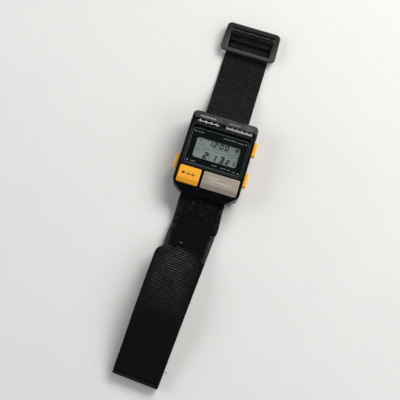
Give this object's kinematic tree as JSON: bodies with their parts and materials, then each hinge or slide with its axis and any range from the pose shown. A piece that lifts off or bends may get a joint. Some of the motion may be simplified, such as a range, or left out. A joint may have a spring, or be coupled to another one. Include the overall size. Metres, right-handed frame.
{
  "type": "digital sports watch",
  "caption": "Square digital sports watch with side buttons, a front pulse button and finger sensor plate, on a ribbed two-piece hook-and-loop strap with a ring buckle.",
  "frame": {"origin": "centre of the case back, on its outer face, which lies on the table", "axes": "+X towards the 3 o'clock side, +Y towards the 12 o'clock end and the ring, +Z out of the display"},
  "size_m": [0.0416, 0.211, 0.0113],
  "materials": {
    "case_resin": "satin black resin",
    "trim_metal": "brushed",
    "steel": "fine brushed",
    "sensor_steel": "fine satin, warm grey",
    "rubber": "matt",
    "crystal_glass": "polished mineral glass",
    "lcd_glass": "display cell, grey-green",
    "mask_print": "black screen print",
    "zebra": "soft connector strip",
    "frame_plastic": "natural moulded plastic",
    "board": "green solder mask",
    "chip": "moulded black",
    "brass": "plain",
    "yellow_plastic": "satin yellow moulding",
    "webbing": "ribbed black nylon webbing",
    "hook_and_loop": "black hook and loop tape",
    "ring_plastic": "black moulded plastic, satin"
  },
  "bodies": {
    "head": {"case_body": "case_resin", "top_trim": "trim_metal", "lcd_reflector": "trim_metal", "case_back": "steel", "back_screw_1": "steel", "back_screw_2": "steel", "back_screw_3": "steel", "back_screw_4": "steel", "upper_strap_bar": "steel", "lower_strap_bar": "steel", "battery": "steel", "battery_clamp": "steel", "quartz_can": "steel", "pulse_switch_dome": "steel", "pulse_button_spring": "steel", "upper_right_spring": "steel", "lower_right_spring": "steel", "lower_left_spring": "steel", "set_spring": "steel", "sensor_plate": "sensor_steel", "back_gasket": "rubber", "sensor_seat": "rubber", "crystal_gasket": "rubber", "pulse_button_seal": "rubber", "upper_right_seal": "rubber", "lower_right_seal": "rubber", "lower_left_seal": "rubber", "set_seal": "rubber", "crystal": "crystal_glass", "lcd_front_glass": "lcd_glass", "lcd_rear_glass": "lcd_glass", "display_mask": "mask_print", "zebra_strip_upper": "zebra", "zebra_strip_lower": "zebra", "module_frame": "frame_plastic", "circuit_board": "board", "processor_chip": "chip", "pulse_amplifier_chip": "chip", "trimmer_capacitor": "brass", "battery_contact": "brass", "buzzer_disc": "brass", "buzzer_spring": "brass", "sensor_spring": "brass"},
    "pulse_key": {"pulse_button": "yellow_plastic", "pulse_button_clip": "steel"},
    "upper_right_key": {"upper_right_button": "yellow_plastic", "upper_right_clip": "steel"},
    "lower_right_key": {"lower_right_button": "yellow_plastic", "lower_right_clip": "steel"},
    "lower_left_key": {"lower_left_button": "yellow_plastic", "lower_left_clip": "steel"},
    "set_key": {"set_button": "case_resin", "set_clip": "steel"},
    "upper_strap": {"upper_webbing": "webbing"},
    "ring": {"buckle_ring": "ring_plastic"},
    "lower_strap": {"lower_webbing": "webbing", "loop_pad": "hook_and_loop", "fold_bend": "webbing"},
    "flap": {"flap_webbing": "webbing", "hook_pad": "hook_and_loop"}
  },
  "joints": [
    {"name": "pulse_button_press", "type": "slide", "parent": "head", "child": "pulse_key", "axis": [0, 0, -1], "range_m": [0, 0.0006], "stiffness_N_per_m": 800, "springref_m": -0.0008, "deforming": ["pulse_button_spring"]},
    {"name": "upper_right_button_press", "type": "slide", "parent": "head", "child": "upper_right_key", "axis": [-1, 0, 0], "range_m": [0, 0.0008], "stiffness_N_per_m": 500, "springref_m": -0.001, "deforming": ["upper_right_spring"]},
    {"name": "lower_right_button_press", "type": "slide", "parent": "head", "child": "lower_right_key", "axis": [-1, 0, 0], "range_m": [0, 0.0008], "stiffness_N_per_m": 500, "springref_m": -0.001, "deforming": ["lower_right_spring"]},
    {"name": "lower_left_button_press", "type": "slide", "parent": "head", "child": "lower_left_key", "axis": [1, 0, 0], "range_m": [0, 0.0008], "stiffness_N_per_m": 500, "springref_m": -0.001, "deforming": ["lower_left_spring"]},
    {"name": "set_button_press", "type": "slide", "parent": "head", "child": "set_key", "axis": [1, 0, 0], "range_m": [0, 0.0005], "stiffness_N_per_m": 500, "springref_m": -0.001, "deforming": ["set_spring"]},
    {"name": "upper_strap_swing", "type": "hinge", "parent": "head", "child": "upper_strap", "pos_m": [0, 0.0206, 0.0046], "axis": [1, 0, 0], "range_deg": [-90, 12]},
    {"name": "ring_flip", "type": "hinge", "parent": "upper_strap", "child": "ring", "pos_m": [0, 0.0782, 0.00205], "axis": [-1, 0, 0], "range_deg": [0, 95]},
    {"name": "lower_strap_swing", "type": "hinge", "parent": "head", "child": "lower_strap", "pos_m": [0, -0.0203, 0.0046], "axis": [-1, 0, 0], "range_deg": [-90, 12]},
    {"name": "flap_unfold", "type": "hinge", "parent": "lower_strap", "child": "flap", "pos_m": [-0.00574, -0.12421, 0.00228], "axis": [0.9977, -0.068, 0], "range_deg": [0, 170], "deforming": ["fold_bend"]}
  ]
}
